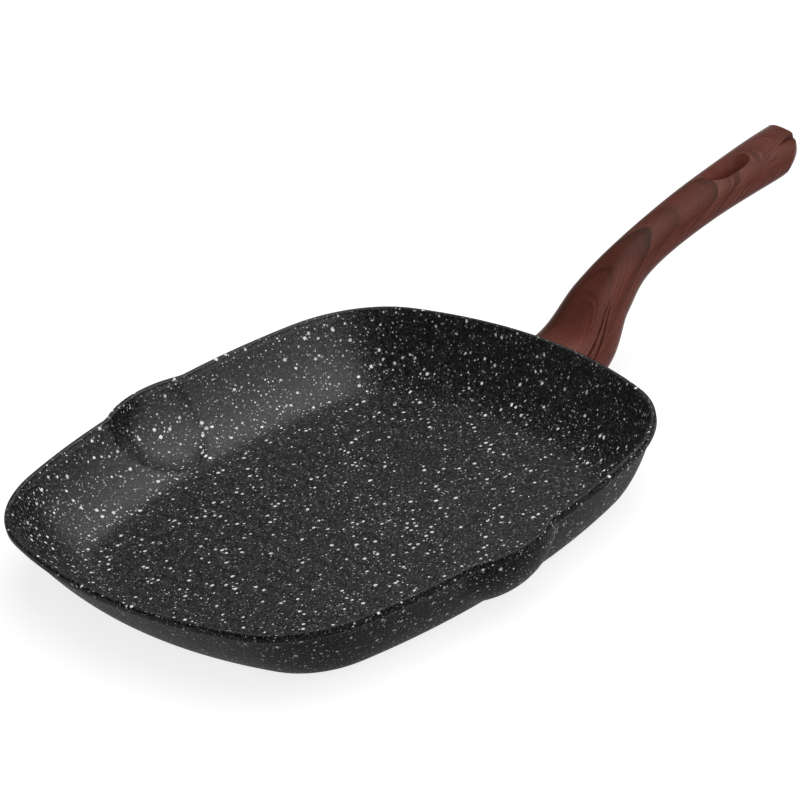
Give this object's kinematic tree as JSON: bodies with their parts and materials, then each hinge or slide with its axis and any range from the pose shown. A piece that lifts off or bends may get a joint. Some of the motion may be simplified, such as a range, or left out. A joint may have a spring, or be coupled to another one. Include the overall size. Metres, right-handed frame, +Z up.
{
  "type": "grill pan",
  "caption": "Square cast-aluminium grill pan with a speckled dark non-stick coat, ribbed floor, pouring spouts in the side walls and a curved wood-effect handle with a hanging slot.",
  "frame": {"origin": "middle of the base's underside, on the surface that the pan stands on", "axes": "+X runs out along the handle, +Y points to the pouring spout that is farther away in the picture, +Z is up"},
  "size_m": [0.4594, 0.2938, 0.0694],
  "materials": {
    "granite_coat": "satin near-black non-stick coat with fine pale specks",
    "disc_steel": "turned stainless steel",
    "wood_effect": "satin red-brown wood-effect print on a phenolic moulding",
    "screw_steel": "bright zinc plate",
    "washer_steel": "zinc plate",
    "spring_steel": "oiled spring steel"
  },
  "bodies": {
    "root": {"pan_body": "granite_coat", "induction_disc": "disc_steel", "handle": "wood_effect", "handle_screw": "screw_steel", "flat_washer": "washer_steel", "spring_washer": "spring_steel"}
  },
  "joints": []
}
